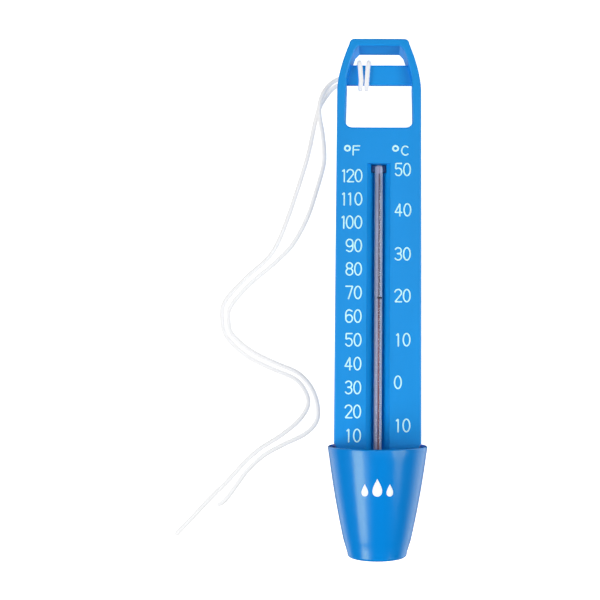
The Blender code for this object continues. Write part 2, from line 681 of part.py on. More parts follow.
def build():
    blue = make_material("case blue", CASE_BLUE, 0.30)
    cup_blue = make_material("cup blue", CUP_BLUE, 0.22)
    glass = make_material("tube glass", (0.95, 0.97, 0.98), 0.03, transmission=1.0)
    red = make_material("red spirit", (0.45, 0.02, 0.02), 0.15)
    white = make_material("white enamel", (0.85, 0.84, 0.82), 0.40)
    foam = make_material("closed-cell foam", (0.80, 0.80, 0.78), 0.90)
    rubber = make_material("dark blue rubber", (0.06, 0.20, 0.42), 0.55)
    cord = make_material("white cord", (0.82, 0.82, 0.82), 0.80)

    front_shell(blue)
    rear_cover(blue)
    scoop_cup(cup_blue)
    float_foam("float_foam_left", -1, foam)
    float_foam("float_foam_right", 1, foam)
    glass_stem(glass)
    glass_bulb(glass)
    bulb_spirit(red)
    spirit_thread(red)
    enamel_strip(white)
    ends = (TIP_POCKET_BOTTOM, TIP_POCKET_TOP)
    cushion("upper_tube_cushion", ends, TIP_POCKET_HALF, CHANNEL_FLOOR_Z, TIP_CUSHION_FRONT, rubber)
    ends = (SEAT_BOTTOM, SEAT_TOP)
    cushion("lower_tube_cushion", ends, SEAT_HALF, SEAT_FLOOR_Z, SEAT_CUSHION_FRONT, rubber)
    cord_tube("cord_hitch", hitch_route(), cord, upright=True)
    cord_tube("cord_tail_long", rounded_route(TAIL_LONG_ROUTE, TAIL_STEP), cord)
    cord_tube("cord_tail_short", rounded_route(TAIL_SHORT_ROUTE, TAIL_STEP), cord)


clear_scene()
PARTS = make_collection("pool thermometer")
CUTTERS = make_collection("cutters")
LYING = bpy.data.objects.new("lying on its back", None)
PARTS.objects.link(LYING)
LYING.location = (0.0, REST_Y, REST_Z)
LYING.rotation_euler = (-TILT, 0.0, 0.0)
build()
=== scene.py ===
"""Looks of the floating pool thermometer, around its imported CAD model.

The thermometer has its own frame: x to the right, y along the tube from the bottom of the cup (0) to the top
of the handle, z towards the reader. UPRIGHT turns that frame into the world frame, in which the thermometer
lies on its back.
Lengths are in metres.
"""

import math

import bmesh
import bpy
from mathutils import Matrix, Vector


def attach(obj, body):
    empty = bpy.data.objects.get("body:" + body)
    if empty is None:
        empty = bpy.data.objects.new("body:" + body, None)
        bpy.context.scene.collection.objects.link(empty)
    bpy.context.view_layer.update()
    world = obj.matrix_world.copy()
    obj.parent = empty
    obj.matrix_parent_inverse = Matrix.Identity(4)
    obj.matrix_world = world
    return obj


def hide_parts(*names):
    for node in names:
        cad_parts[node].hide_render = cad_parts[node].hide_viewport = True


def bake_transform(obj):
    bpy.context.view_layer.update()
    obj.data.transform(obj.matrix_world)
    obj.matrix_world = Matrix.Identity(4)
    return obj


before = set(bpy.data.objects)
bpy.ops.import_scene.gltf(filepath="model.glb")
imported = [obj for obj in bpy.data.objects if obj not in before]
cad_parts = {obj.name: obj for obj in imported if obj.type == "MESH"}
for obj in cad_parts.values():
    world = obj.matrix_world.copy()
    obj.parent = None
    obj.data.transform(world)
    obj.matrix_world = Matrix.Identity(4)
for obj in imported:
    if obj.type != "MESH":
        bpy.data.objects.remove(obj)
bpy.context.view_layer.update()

CASE = "thermometer"
THREAD = "spirit_thread"

# Case and channel.
LENGTH = 0.2600
FACE_Z = 0.0020
BACK_Z = -0.0095
EDGE_ROUND = 0.0007
BAR_BOTTOM = 0.2371
BAR_TOP = 0.2476
BAR_FRONT = -0.0023
BAR_BACK = -0.0053

# Scoop cup.
CUP_RIM_Y = 0.0540
CUP_FOOT = 0.01463
CUP_SLOPE = 0.2465
CUP_CURVE = 1.13
CUP_WALL = 0.0015
CUP_FLOOR = 0.0050
CUP_FOOT_ROUND = 0.0016

# Tube and spirit.
TUBE_TOP = 0.1949
TUBE_TIP = 0.0012
TUBE_BOTTOM = 0.0262
BORE_TOP = 0.1905
READING_Y = 0.1276
THREAD_TOP_LENGTH = 0.0030
NECK_BOTTOM = 0.0245
GAP = 0.0003

# Lying down: tilt of the case and place of the bottom of the cup.
RIM_RADIUS = CUP_FOOT + CUP_SLOPE * CUP_RIM_Y - CUP_CURVE * CUP_RIM_Y**2
TILT = math.atan((RIM_RADIUS + BACK_Z) / (LENGTH - EDGE_ROUND - CUP_RIM_Y))
REST_Z = CUP_RIM_Y * math.sin(TILT) + RIM_RADIUS * math.cos(TILT)
REST_Y = -0.5 * (
    LENGTH * math.cos(TILT) + FACE_Z * math.sin(TILT) - (CUP_FOOT - CUP_FOOT_ROUND) * math.sin(TILT)
)
UPRIGHT = Matrix.Translation((0.0, REST_Y, REST_Z)) @ Matrix.Rotation(-TILT, 4, "X")

# Cord.
CORD_RADIUS = 0.0012
CORD_LAYER_GAP = 0.00015
HITCH_LEFT = {"bend": 0.0020, "rear_top": -0.0109, "top": -0.0098, "foot": -0.0092, "rear_foot": -0.0100}
HITCH_RIGHT = {"bend": 0.0036, "rear_top": -0.0048, "top": -0.0058, "foot": -0.0063, "rear_foot": -0.0068}
HITCH_INSET = 0.0015
HITCH_BIGHT_Y = 0.2428
HITCH_BIGHT_SPREAD = 0.0011
HITCH_END_X = -0.0132
HITCH_END_HIGH = 0.2423
HITCH_END_LOW = 0.2397

TAIL_LONG_ROUTE = [
    (-0.0136, 0.1093, 0.00413),
    (-0.0147, 0.1093, 0.00398),
    (-0.0177, 0.1092, 0.00235),
    (-0.0205, 0.1087, 0.00145),
    (-0.0250, 0.1060, 0.00125),
    (-0.0304, 0.0981, 0.00125),
    (-0.0332, 0.0892, 0.00125),
    (-0.0367, 0.0728, 0.00125),
    (-0.0411, 0.0578, 0.00125),
    (-0.0473, 0.0392, 0.00125),
    (-0.0523, 0.0266, 0.00125),
    (-0.0579, 0.0179, 0.00125),
    (-0.0692, 0.0076, 0.00125),
    (-0.0796, -0.0041, 0.00125),
    (-0.0812, -0.0130, 0.00125),
    (-0.0785, -0.0229, 0.00125),
    (-0.0682, -0.0326, 0.00125),
    (-0.0559, -0.0389, 0.00125),
    (-0.0431, -0.0445, 0.00125),
    (-0.0372, -0.0520, 0.00125),
    (-0.0366, -0.0590, 0.00125),
    (-0.0419, -0.0669, 0.00125),
    (-0.0515, -0.0747, 0.00125),
    (-0.0617, -0.0813, 0.00125),
    (-0.0701, -0.0890, 0.00125),
    (-0.0781, -0.0979, 0.00125),
    (-0.0868, -0.1066, 0.00125),
    (-0.0964, -0.1169, 0.00125),
    (-0.1051, -0.1261, 0.00125),
]
TAIL_SHORT_ROUTE = [
    (-0.0136, 0.1119, 0.00394),
    (-0.0147, 0.1120, 0.00380),
    (-0.0177, 0.1121, 0.00235),
    (-0.0205, 0.1118, 0.00155),
    (-0.0250, 0.1092, 0.00180),
    (-0.0288, 0.1043, 0.00320),
    (-0.0307, 0.0985, 0.00395),
    (-0.0310, 0.0935, 0.00395),
    (-0.0303, 0.0885, 0.00300),
    (-0.0294, 0.0830, 0.00170),
    (-0.0285, 0.0738, 0.00125),
    (-0.0290, 0.0660, 0.00125),
    (-0.0328, 0.0525, 0.00125),
    (-0.0371, 0.0397, 0.00125),
    (-0.0443, 0.0261, 0.00125),
    (-0.0530, 0.0167, 0.00125),
    (-0.0668, 0.0048, 0.00125),
    (-0.0765, -0.0064, 0.00125),
    (-0.0779, -0.0138, 0.00125),
    (-0.0760, -0.0213, 0.00125),
    (-0.0665, -0.0297, 0.00125),
    (-0.0544, -0.0359, 0.00125),
    (-0.0418, -0.0414, 0.00125),
    (-0.0345, -0.0493, 0.00125),
    (-0.0313, -0.0590, 0.00125),
    (-0.0321, -0.0668, 0.00125),
    (-0.0380, -0.0732, 0.00125),
    (-0.0491, -0.0787, 0.00125),
    (-0.0594, -0.0845, 0.00125),
    (-0.0680, -0.0925, 0.00125),
    (-0.0745, -0.1015, 0.00125),
    (-0.0795, -0.1080, 0.00125),
    (-0.0835, -0.1105, 0.00125),
]


# ---------------------------------------------------------------- camera

CAMERA_HEIGHT = 0.4906
CAMERA_X = 0.0004
CAMERA_Y = -0.0032
CAMERA_ROLL = 0.26
LENS = 56.4
SENSOR = 36.0
SHIFT_X = -0.1317

lens = bpy.data.cameras.new("camera")
lens.lens = LENS
lens.sensor_width = SENSOR
lens.shift_x = SHIFT_X
lens.clip_start = 0.01
camera = bpy.data.objects.new("camera", lens)
bpy.context.scene.collection.objects.link(camera)
camera.location = (CAMERA_X, CAMERA_Y, CAMERA_HEIGHT)
camera.rotation_euler = (0.0, 0.0, math.radians(CAMERA_ROLL))
bpy.context.scene.camera = camera


# ---------------------------------------------------------------- shaping tools


def local(x, y, z):
    """A point of the thermometer's own frame, in the world frame."""
    return UPRIGHT @ Vector((x, y, z))


def arc(centre, radius, start, end, steps):
    """Points of an arc, angles in degrees."""
    turns = [math.radians(start + (end - start) * i / steps) for i in range(steps + 1)]
    return [(centre[0] + radius * math.cos(t), centre[1] + radius * math.sin(t)) for t in turns]


def oval(centre, half_width, half_height, start, end, steps):
    """Points of an oval's arc, angles in degrees."""
    turns = [math.radians(start + (end - start) * i / steps) for i in range(steps + 1)]
    return [(centre[0] + half_width * math.cos(t), centre[1] + half_height * math.sin(t)) for t in turns]


def whole_oval(centre, half_width, half_height):
    """Points right round an oval, the last of them one step short of the first."""
    return oval(centre, half_width, half_height, 0, 345, 23)


SPAN_STEPS = 24


def smooth_path(points, step):
    """Evenly spaced points on a smooth curve through the given ones."""
    route = [Vector(p) for p in points]
    ends = [2 * route[0] - route[1]] + route + [2 * route[-1] - route[-2]]
    fine = []
    for before, start, end, after in zip(ends, ends[1:], ends[2:], ends[3:]):
        for i in range(SPAN_STEPS):
            t = i / SPAN_STEPS
            pull = (end - before) * t + (2 * before - 5 * start + 4 * end - after) * t**2
            fine.append(start + 0.5 * (pull + (3 * start - before - 3 * end + after) * t**3))
    fine.append(route[-1])
    return even_path(fine, step)


def even_path(fine, step):
    """Evenly spaced points along a line of points, as near to step apart as divides it evenly."""
    lengths = [0.0]
    for a, b in zip(fine, fine[1:]):
        lengths.append(lengths[-1] + (b - a).length)
    count = max(2, round(lengths[-1] / step))
    even, j = [], 0
    for i in range(count + 1):
        wanted = lengths[-1] * i / count
        while j < len(fine) - 2 and lengths[j + 1] < wanted:
            j += 1
        share = (wanted - lengths[j]) / (lengths[j + 1] - lengths[j])
        even.append(fine[j].lerp(fine[j + 1], min(1.0, share)))
    return even


def path_frames(path):
    """Side and up at each point of a path, turning as little as possible along it."""
    last = len(path) - 1
    tangents = [(path[min(i + 1, last)] - path[max(i - 1, 0)]).normalized() for i in range(last + 1)]
    up = Vector((0.0, 0.0, 1.0))
    if abs(tangents[0].dot(up)) > 0.9:
        up = Vector((1.0, 0.0, 0.0))
    frames = []
    for tangent in tangents:
        up = (up - tangent * up.dot(tangent)).normalized()
        frames.append((tangent.cross(up), up))
    return frames


def mesh_object(name, shape, material, smooth=True):
    """A mesh object from a bmesh, which it frees."""
    bmesh.ops.recalc_face_normals(shape, faces=shape.faces)
    mesh = bpy.data.meshes.new(name)
    shape.to_mesh(mesh)
    shape.free()
    for polygon in mesh.polygons:
        polygon.use_smooth = smooth
    mesh.materials.append(material)
    obj = bpy.data.objects.new(name, mesh)
    bpy.context.scene.collection.objects.link(obj)
    return obj


def skin(shape, rings, closed_along=False, caps=True):
    """Faces between rings of vertices; each ring is closed."""
    pairs = list(zip(rings, rings[1:]))
    if closed_along:
        pairs.append((rings[-1], rings[0]))
    for ring, following in pairs:
        count = len(ring)
        for i in range(count):
            j = (i + 1) % count
            shape.faces.new((ring[i], ring[j], following[j], following[i]))
    if caps and not closed_along:
        shape.faces.new(list(reversed(rings[0])))
        shape.faces.new(rings[-1])


def turned(name, profile, steps, material):
    """A body turned about the tube's axis from (radius, y) points; radius 0 closes it."""
    shape = bmesh.new()
    rings = []
    for radius, y in profile:
        if radius == 0.0:
            rings.append([shape.verts.new(local(0.0, y, 0.0))])
            continue
        ring = []
        for i in range(steps):
            t = 2 * math.pi * i / steps
            ring.append(shape.verts.new(local(radius * math.sin(t), y, radius * math.cos(t))))
        rings.append(ring)
    for ring, following in zip(rings, rings[1:]):
        for i in range(steps):
            j = (i + 1) % steps
            if len(ring) == 1:
                shape.faces.new((ring[0], following[j], following[i]))
            elif len(following) == 1:
                shape.faces.new((ring[i], ring[j], following[0]))
            else:
                shape.faces.new((ring[i], ring[j], following[j], following[i]))
    return mesh_object(name, shape, material)


# ---------------------------------------------------------------- materials

GLASS_ALPHA = 0.5
CASE_BLUE = (0.004, 0.325, 0.870)
CUP_BLUE = (0.000, 0.262, 0.800)
# Strength of the cord's painted glow.
CORD_PAINTED_GLOW = 0.42
BACKING_RADIUS = 0.00188
# The round glass shows about the middle two thirds of the backing's width. The stops across it are painted
# light: painted shade at both edges, a painted dark line for the shade of the bore and a painted light
# streak of reflection right of it.
ENAMEL_PAINTED_LIGHT_ACROSS = [
    (0.15, (0.12, 0.17, 0.33)),
    (0.24, (0.35, 0.42, 0.60)),
    (0.36, (0.41, 0.41, 0.58)),
    (0.52, (0.40, 0.36, 0.52)),
    (0.60, (0.30, 0.25, 0.36)),
    (0.68, (0.44, 0.42, 0.60)),
    (0.78, (0.74, 0.84, 1.00)),
    (0.90, (0.18, 0.32, 0.60)),
]
ENAMEL_ALONG = [(0.0, (1.0, 0.96, 0.96)), (0.5, (0.86, 0.88, 0.90)), (1.0, (0.74, 0.80, 0.84))]


class Nodes:
    """Short names for building a material's node tree."""

    def __init__(self, name):
        self.material = bpy.data.materials.new(name)
        self.material.use_nodes = True
        self.tree = self.material.node_tree
        self.shader = self.tree.nodes["Principled BSDF"]

    def add(self, kind, **values):
        """A new node; a value sets the node's own property of that name, or its socket."""
        node = self.tree.nodes.new(kind)
        for key, value in values.items():
            if hasattr(node, key):
                setattr(node, key, value)
            else:
                node.inputs[key.replace("_", " ")].default_value = value
        return node

    def link(self, source, target):
        self.tree.links.new(source, target)

    def noise(self, scale, detail=3.0, roughness=0.5, stretch=None):
        """Noise in the object's own coordinates, in waves per metre."""
        place = self.add("ShaderNodeTexCoord")
        node = self.add("ShaderNodeTexNoise", Scale=scale, Detail=detail, Roughness=roughness)
        if stretch:
            mapping = self.add("ShaderNodeMapping")
            mapping.inputs["Scale"].default_value = stretch
            self.link(place.outputs["Object"], mapping.inputs["Vector"])
            self.link(mapping.outputs["Vector"], node.inputs["Vector"])
        else:
            self.link(place.outputs["Object"], node.inputs["Vector"])
        return node.outputs["Fac"]

    def ramp(self, source, stops):
        node = self.add("ShaderNodeValToRGB")
        elements = node.color_ramp.elements
        while len(elements) < len(stops):
            elements.new(0.5)
        for element, (position, colour) in zip(elements, stops):
            element.position = position
            element.color = (*colour, 1.0)
        self.link(source, node.inputs["Fac"])
        return node.outputs["Color"]

    def remap(self, source, low, high, to_low, to_high):
        node = self.add("ShaderNodeMapRange")
        for key, value in zip(("From Min", "From Max", "To Min", "To Max"), (low, high, to_low, to_high)):
            node.inputs[key].default_value = value
        self.link(source, node.inputs["Value"])
        return node.outputs["Result"]

    def multiply(self, first, second):
        node = self.add("ShaderNodeMix", data_type="RGBA", blend_type="MULTIPLY")
        node.inputs["Factor"].default_value = 1.0
        colours = [socket for socket in node.inputs if socket.type == "RGBA"]
        self.link(first, colours[0])
        self.link(second, colours[1])
        return next(socket for socket in node.outputs if socket.type == "RGBA")

    def bump(self, source, distance, strength=1.0, before=None):
        node = self.add("ShaderNodeBump", Strength=strength, Distance=distance)
        self.link(source, node.inputs["Height"])
        if before:
            self.link(before, node.inputs["Normal"])
        return node.outputs["Normal"]

    def set(self, **values):
        for key, value in values.items():
            self.shader.inputs[key.replace("_", " ")].default_value = value
        return self

    def feed(self, **sources):
        for key, source in sources.items():
            self.link(source, self.shader.inputs[key.replace("_", " ")])
        return self


def shade(colour, factor):
    return tuple(min(1.0, c * factor) for c in colour)


def moulded_blue(name, colour, roughness, spread, grain):
    """Injection-moulded plastic: faint flow clouds in the colour, patchy gloss and a very fine grain."""
    nodes = Nodes(name)
    cloud = nodes.noise(38.0, 4.0, 0.55, stretch=(1.0, 0.35, 1.0))
    nodes.feed(Base_Color=nodes.ramp(cloud, [(0.30, shade(colour, 0.955)), (0.70, shade(colour, 1.035))]))
    patch = nodes.noise(240.0, 5.0, 0.6)
    nodes.feed(Roughness=nodes.remap(patch, 0.25, 0.75, roughness - spread, roughness + spread))
    fine = nodes.noise(5200.0, 2.0, 0.5)
    broad = nodes.noise(190.0, 2.0, 0.4)
    first = nodes.bump(fine, grain)
    nodes.feed(Normal=nodes.bump(broad, 0.000012, before=first))
    return nodes


def case_plastic():
    nodes = moulded_blue("case_blue", CASE_BLUE, 0.36, 0.05, 0.0000022)
    nodes.set(IOR=1.50, Specular_IOR_Level=0.36)
    return nodes.material


def cup_plastic():
    nodes = moulded_blue("cup_blue", CUP_BLUE, 0.23, 0.035, 0.0000010)
    nodes.set(IOR=1.50, Specular_IOR_Level=0.50, Specular_Tint=(0.90, 1.0, 0.40, 1.0))
    return nodes.material


def white_paint(name, worn_colour, colour, glow_colour, glow):
    """Thick white paint, a little worn, with a painted glow that keeps it bright."""
    nodes = Nodes(name)
    worn = nodes.noise(1400.0, 3.0, 0.6)
    nodes.feed(Base_Color=nodes.ramp(worn, [(0.28, worn_colour), (0.55, colour)]))
    nodes.feed(Roughness=nodes.remap(worn, 0.3, 0.7, 0.42, 0.58))
    nodes.feed(Normal=nodes.bump(nodes.noise(6000.0, 2.0, 0.5), 0.000006))
    # Painted glow: the paint gives off a little light of its own, so that it stays bright in shade.
    nodes.set(Emission_Color=glow_colour, Emission_Strength=glow)
    return nodes.material


def numeral_paint():
    """Cool white, on the raised numerals, with a painted glow."""
    return white_paint("numeral_white", (0.52, 0.94, 0.97), (0.62, 1.0, 1.0), (0.75, 1.0, 1.0, 1.0), 0.12)


def mark_paint():
    """Purer white, on the cup's mark, with a painted glow."""
    return white_paint("mark_white", (0.92, 0.96, 0.98), (0.98, 1.0, 1.0), (1.0, 1.0, 1.0, 1.0), 0.10)


def glass_clear():
    """Clear drawn glass, half see-through so that what lies in it shows at its true width too."""
    nodes = Nodes("tube_glass")
    ripple = nodes.noise(160.0, 2.0, 0.4, stretch=(1.0, 0.2, 1.0))
    nodes.feed(Normal=nodes.bump(ripple, 0.000006))
    nodes.feed(Roughness=nodes.remap(nodes.noise(900.0, 3.0, 0.6), 0.2, 0.8, 0.015, 0.05))
    tone = nodes.noise(60.0, 2.0, 0.5)
    nodes.feed(Base_Color=nodes.ramp(tone, [(0.3, (0.93, 0.95, 0.97)), (0.7, (0.98, 0.99, 1.0))]))
    nodes.set(IOR=1.50, Transmission_Weight=1.0, Alpha=GLASS_ALPHA)
    return nodes.material


def red_spirit():
    nodes = Nodes("red_spirit")
    depth = nodes.noise(420.0, 2.0, 0.5, stretch=(1.0, 0.15, 1.0))
    nodes.feed(Base_Color=nodes.ramp(depth, [(0.3, (0.13, 0.030, 0.034)), (0.7, (0.20, 0.045, 0.048))]))
    nodes.feed(Roughness=nodes.remap(nodes.noise(900.0, 2.0, 0.5), 0.2, 0.8, 0.10, 0.20))
    nodes.set(IOR=1.36)
    return nodes.material


def enamel():
    """White backing seen through the glass, warmer in the middle and towards the bulb, with painted shade at
    its edges, a painted dark line for the shade of the bore and a painted light streak of reflection beside
    it.
    """
    nodes = Nodes("white_enamel")
    streak = nodes.noise(700.0, 3.0, 0.55, stretch=(1.0, 0.06, 1.0))
    grain = nodes.ramp(streak, [(0.3, (0.90, 0.90, 0.90)), (0.7, (1.0, 1.0, 1.0))])
    place = nodes.add("ShaderNodeSeparateXYZ")
    nodes.link(nodes.add("ShaderNodeTexCoord").outputs["Object"], place.inputs["Vector"])
    across = nodes.remap(place.outputs["X"], -BACKING_RADIUS, BACKING_RADIUS, 0.0, 1.0)
    # Painted light across the backing: shaded edges, a dark line for the bore's shade and a light streak of
    # reflection.
    tone = nodes.ramp(across, ENAMEL_PAINTED_LIGHT_ACROSS)
    along = nodes.remap(place.outputs["Y"], -0.09, 0.06, 0.0, 1.0)
    height = nodes.ramp(along, ENAMEL_ALONG)
    nodes.feed(Base_Color=nodes.multiply(nodes.multiply(tone, height), grain))
    nodes.feed(Roughness=nodes.remap(streak, 0.2, 0.8, 0.30, 0.46))
    nodes.feed(Normal=nodes.bump(nodes.noise(2600.0, 2.0, 0.5), 0.000008))
    return nodes.material


def rubber():
    nodes = Nodes("soft_rubber")
    cloud = nodes.noise(500.0, 3.0, 0.6)
    nodes.feed(Base_Color=nodes.ramp(cloud, [(0.3, (0.004, 0.045, 0.16)), (0.7, (0.008, 0.065, 0.22))]))
    nodes.feed(Roughness=nodes.remap(cloud, 0.2, 0.8, 0.5, 0.65))
    nodes.feed(Normal=nodes.bump(nodes.noise(4000.0, 2.0, 0.5), 0.00001))
    return nodes.material


def foam():
    nodes = Nodes("foam")
    cells = nodes.add("ShaderNodeTexVoronoi", Scale=1500.0)
    place = nodes.add("ShaderNodeTexCoord")
    nodes.link(place.outputs["Object"], cells.inputs["Vector"])
    stops = [(0.0, (0.82, 0.82, 0.80)), (0.8, (0.66, 0.66, 0.63))]
    nodes.feed(Base_Color=nodes.ramp(cells.outputs["Distance"], stops))
    nodes.feed(Roughness=nodes.remap(nodes.noise(300.0), 0.2, 0.8, 0.82, 0.95))
    nodes.feed(Normal=nodes.bump(cells.outputs["Distance"], 0.0001))
    return nodes.material


def cord_yarn():
    """Spun white yarn: fine fibres along the strands, a soft sheen, slightly darker valleys and a painted
    glow that brightens the whole cord.
    """
    nodes = Nodes("white_cord")
    fibre = nodes.noise(2600.0, 4.0, 0.65)
    nodes.feed(Base_Color=nodes.ramp(fibre, [(0.25, (0.50, 0.50, 0.51)), (0.70, (0.60, 0.60, 0.60))]))
    nodes.feed(Roughness=nodes.remap(fibre, 0.2, 0.8, 0.75, 0.92))
    nodes.feed(Normal=nodes.bump(fibre, 0.00005))
    nodes.set(Sheen_Weight=0.25, Sheen_Roughness=0.5)
    # Painted glow: the cord gives off light of its own, so that its shaded sides stay near white.
    nodes.set(Emission_Color=(1.0, 1.0, 1.0, 1.0), Emission_Strength=CORD_PAINTED_GLOW)
    return nodes.material


def black_print():
    nodes = Nodes("black_print")
    worn = nodes.noise(3000.0, 2.0, 0.5)
    nodes.feed(Base_Color=nodes.ramp(worn, [(0.3, (0.010, 0.010, 0.014)), (0.7, (0.022, 0.022, 0.028))]))
    nodes.feed(Roughness=nodes.remap(worn, 0.3, 0.7, 0.35, 0.5))
    return nodes.material


def bore_dark():
    nodes = Nodes("bore_dark")
    streak = nodes.noise(900.0, 2.0, 0.5, stretch=(1.0, 0.1, 1.0))
    # Painted shade: a dark colour standing in for the shade of the empty bore.
    nodes.feed(Base_Color=nodes.ramp(streak, [(0.3, (0.12, 0.085, 0.11)), (0.7, (0.17, 0.12, 0.15))]))
    nodes.feed(Roughness=nodes.remap(streak, 0.3, 0.7, 0.4, 0.6))
    return nodes.material


CASE_MATERIAL = case_plastic()
CUP_MATERIAL = cup_plastic()
NUMERAL_MATERIAL = numeral_paint()
DROP_MATERIAL = mark_paint()
GLASS_MATERIAL = glass_clear()
SPIRIT_MATERIAL = red_spirit()
ENAMEL_MATERIAL = enamel()
RUBBER_MATERIAL = rubber()
FOAM_MATERIAL = foam()
CORD_MATERIAL = cord_yarn()
MARK_MATERIAL = black_print()
PAINTED_BORE_SHADE_MATERIAL = bore_dark()


# ---------------------------------------------------------------- cord

BRAID_AROUND = 24
BRAID_CARRIERS = 8
BRAID_STEP = 0.00030
BRAID_PITCH = 0.0090
BRAID_DEPTH = 0.00013
STRAND_FULLNESS = 0.7
CROSSING_SHARPNESS = 2.2
TIP_RINGS = 5
TIP_SMALLEST = 0.06
# The hitch runs on a little past the CAD's, so that it meets the tails without a gap.
HITCH_RUN_ON = 0.0002


def braid_height(angle, along):
    """Height of a braid's surface, 0 in its valleys and 1 on its strands, which cross over and under."""
    turn = along / BRAID_PITCH * 2 * math.pi
    half = BRAID_CARRIERS / 2
    right = half * (angle - turn)
    left = half * (angle + turn)
    over = math.sin(half * angle) * math.sin(half * turn)
    strand_right = abs(math.cos(right / 2)) ** STRAND_FULLNESS
    strand_left = abs(math.cos(left / 2)) ** STRAND_FULLNESS
    blend = 0.5 + 0.5 * max(-1.0, min(1.0, CROSSING_SHARPNESS * over))
    return strand_right * blend + strand_left * (1 - blend)


def braided(name, path, ends):
    """A braided cord along a path; ends says for its start and its end whether it closes in a melted tip."""
    shape = bmesh.new()
    rings = []
    frames = path_frames(path)
    last = len(path) - 1
    for i, (point, (side, up)) in enumerate(zip(path, frames)):
        along = i * BRAID_STEP
        shrink = 1.0
        for closes, steps in ((ends[0], i), (ends[1], last - i)):
            if closes and steps < TIP_RINGS:
                shrink = min(shrink, math.sqrt(max(TIP_SMALLEST, 1 - (1 - steps / TIP_RINGS) ** 2)))
        ring = []
        for k in range(BRAID_AROUND):
            angle = 2 * math.pi * k / BRAID_AROUND
            lift = braid_height(angle, along)
            radius = (CORD_RADIUS - BRAID_DEPTH * (1 - lift)) * shrink
            ring.append(shape.verts.new(point + (side * math.cos(angle) + up * math.sin(angle)) * radius))
        rings.append(ring)
    skin(shape, rings)
    return mesh_object(name, shape, CORD_MATERIAL)


def hitch_route():
    """One cord from its high end, over and under the bar twice, with its bight behind, to its low end."""
    front = BAR_FRONT + GAP + CORD_RADIUS
    inner = BAR_BACK - GAP - CORD_RADIUS
    outer = inner - 2 * CORD_RADIUS - CORD_LAYER_GAP
    turn = (front - inner) / 2
    middle_z = (front + inner) / 2
    over_y = BAR_TOP - HITCH_INSET
    under_y = BAR_BOTTOM + HITCH_INSET

    def over_bar(strand, steps=12):
        """From behind, over the top, to the front."""
        points = []
        for i in range(steps + 1):
            t = math.pi * (i / steps - 0.5)
            x = strand["rear_top"] + (strand["top"] - strand["rear_top"]) * i / steps
            points.append((x, over_y + turn * math.cos(t), middle_z + turn * math.sin(t)))
        return points

    def under_bar(strand, steps=12):
        """From the front, under the bar, to the outer layer behind."""
        points = []
        for i in range(steps + 1):
            t = math.pi * i / steps
            reach = turn if i <= steps / 2 else middle_z - outer
            x = strand["foot"] + (strand["rear_foot"] - strand["foot"]) * i / steps
            points.append((x, under_y - turn * math.sin(t), middle_z + reach * math.cos(t)))
        return points

    left, right = HITCH_LEFT, HITCH_RIGHT
    high_centre = (left["rear_top"] - left["bend"], HITCH_END_HIGH + left["bend"])
    points = [(HITCH_END_X - HITCH_RUN_ON, HITCH_END_HIGH, inner)]
    points += [(x, y, inner) for x, y in arc(high_centre, left["bend"], -90, 0, 8)]
    points += over_bar(left) + under_bar(left)
    middle = (left["rear_foot"] + right["rear_foot"]) / 2
    bight = (right["rear_foot"] - left["rear_foot"]) / 2 + HITCH_BIGHT_SPREAD
    points += [(x, y, outer) for x, y in arc((middle, HITCH_BIGHT_Y), bight, 180, 0, 10)]
    points += list(reversed(under_bar(right))) + list(reversed(over_bar(right)))
    low_centre = (right["rear_top"] - right["bend"], HITCH_END_LOW + right["bend"])
    points += [(x, y, inner) for x, y in arc(low_centre, right["bend"], 0, -90, 8)]
    points.append((HITCH_END_X - HITCH_RUN_ON, HITCH_END_LOW, inner))
    return points


def make_cords():
    hitch_path = even_path([local(*p) for p in hitch_route()], BRAID_STEP)
    hitch = braided("cord_hitch_braid", hitch_path, (False, False))
    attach(hitch, CASE)
    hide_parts("cord_hitch")
    high_exit = hitch_path[0]
    low_exit = hitch_path[-1]
    for name, route, node, leaves in (
        ("cord_tail_long_braid", TAIL_LONG_ROUTE, "cord_tail_long", low_exit),
        ("cord_tail_short_braid", TAIL_SHORT_ROUTE, "cord_tail_short", high_exit),
    ):
        path = smooth_path(route, BRAID_STEP)
        tail = braided(name, path, (False, True))
        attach(tail, CASE)
        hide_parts(node)


make_cords()


# ---------------------------------------------------------------- cup


def cup_radius(y):
    """Outer radius of the cup at a height above its bottom."""
    return CUP_FOOT + CUP_SLOPE * y - CUP_CURVE * y**2


CUP_INNER_CHAMFER = 0.0012
CUP_WALL_SPAN = 0.0408
CUP_WALL_ROWS = 20


def make_cup():
    """A thin turned cup with a round lip and a round foot."""
    lip = CUP_WALL / 2
    rim = CUP_RIM_Y - lip
    rim_mid = cup_radius(CUP_RIM_Y) - lip
    low = CUP_FLOOR + CUP_INNER_CHAMFER
    rows = [low + CUP_WALL_SPAN * i / CUP_WALL_ROWS for i in range(CUP_WALL_ROWS + 1)]
    floor_radius = cup_radius(CUP_FLOOR) - CUP_WALL - CUP_INNER_CHAMFER
    profile = [(0.0, CUP_FLOOR)]
    profile += [(floor_radius * i / 4, CUP_FLOOR) for i in (1, 2, 3, 4)]
    profile += [(cup_radius(y) - CUP_WALL, y) for y in rows]
    profile += list(reversed(arc((rim_mid, rim), lip, 0, 180, 10)))
    profile += [(cup_radius(y), y) for y in reversed(rows[1:])]
    foot = (CUP_FOOT - CUP_FOOT_ROUND, CUP_FOOT_ROUND)
    profile += arc(foot, CUP_FOOT_ROUND, 10, -90, 8)
    profile += [(foot[0] * i / 4, 0.0) for i in (3, 2, 1)]
    profile.append((0.0, 0.0))
    cup = turned("scoop_cup_shell", profile, 144, CUP_MATERIAL)
    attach(cup, CASE)
    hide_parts("scoop_cup")


make_cup()


DROPS_Y = 0.0351
DROP_RISE = 0.00018
